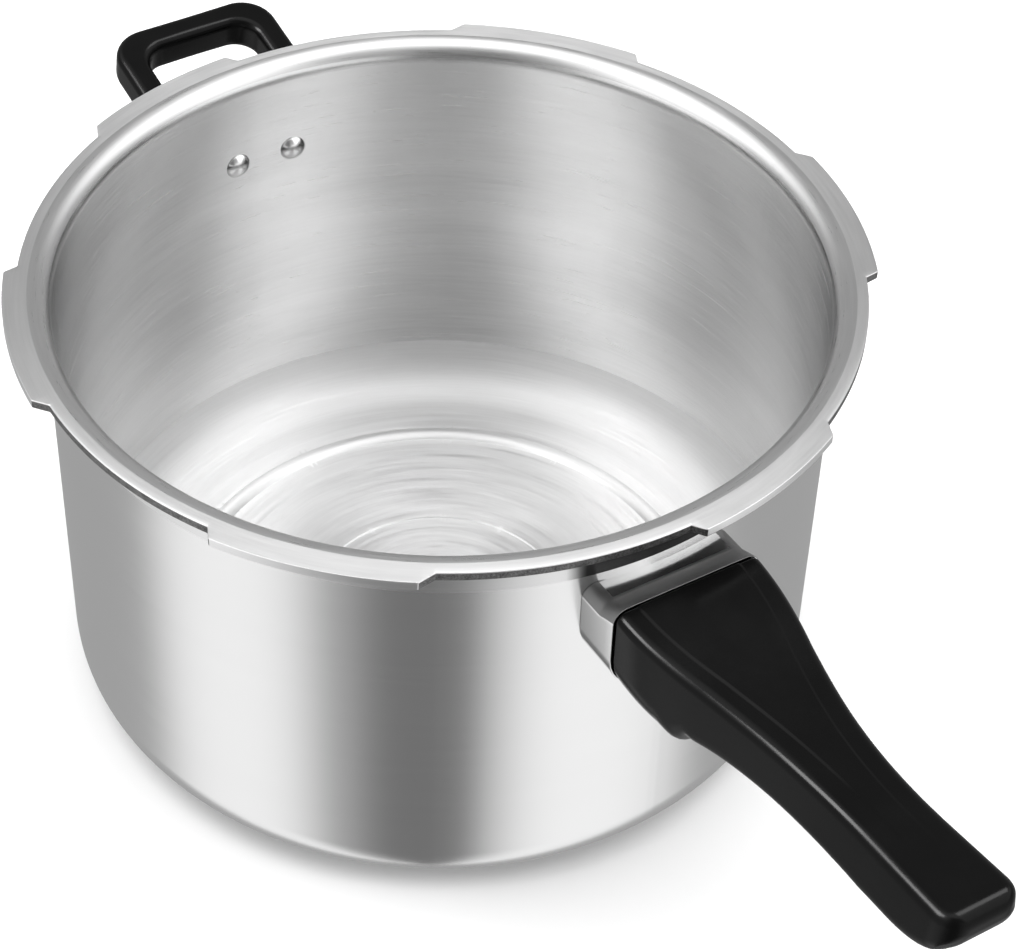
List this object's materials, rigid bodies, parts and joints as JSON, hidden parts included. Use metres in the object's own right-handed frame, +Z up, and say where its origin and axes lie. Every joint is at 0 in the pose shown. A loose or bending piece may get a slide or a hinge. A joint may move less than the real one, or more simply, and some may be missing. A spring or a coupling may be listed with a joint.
{
  "type": "stovetop pressure cooker",
  "caption": "Open stovetop pressure cooker pot in spun aluminium, with a bayonet lug rim, a long black side handle behind a chrome flame guard, and a looped helper handle.",
  "frame": {"origin": "centre of the pot's flat underside, on the pot's axis", "axes": "+Z up along the pot's axis, +X along the long handle, the helper handle points along -X"},
  "size_m": [0.4558, 0.2686, 0.151],
  "materials": {
    "spun_aluminium": "polished outside, satin turned inside",
    "chrome_guard": "polished chrome plate",
    "black_phenolic": "moulded, glossy",
    "rivet_aluminium": "polished domes",
    "zinc_steel": "zinc plated",
    "bracket_steel": "satin pressed sheet",
    "insert_brass": "turned"
  },
  "bodies": {
    "root": {"pot_body": "spun_aluminium", "handle_bracket": "bracket_steel", "handle_rivet_left": "rivet_aluminium", "handle_rivet_right": "rivet_aluminium", "handle_rivet_lower": "rivet_aluminium", "flame_guard": "chrome_guard", "handle_grip": "black_phenolic", "handle_screw": "zinc_steel", "handle_washer": "zinc_steel", "handle_nut": "zinc_steel", "helper_bracket": "bracket_steel", "helper_rivet_left": "rivet_aluminium", "helper_rivet_right": "rivet_aluminium", "helper_grip": "black_phenolic", "helper_screw_left": "zinc_steel", "helper_screw_right": "zinc_steel", "helper_washer_left": "zinc_steel", "helper_washer_right": "zinc_steel", "helper_insert_left": "insert_brass", "helper_insert_right": "insert_brass"}
  },
  "joints": []
}
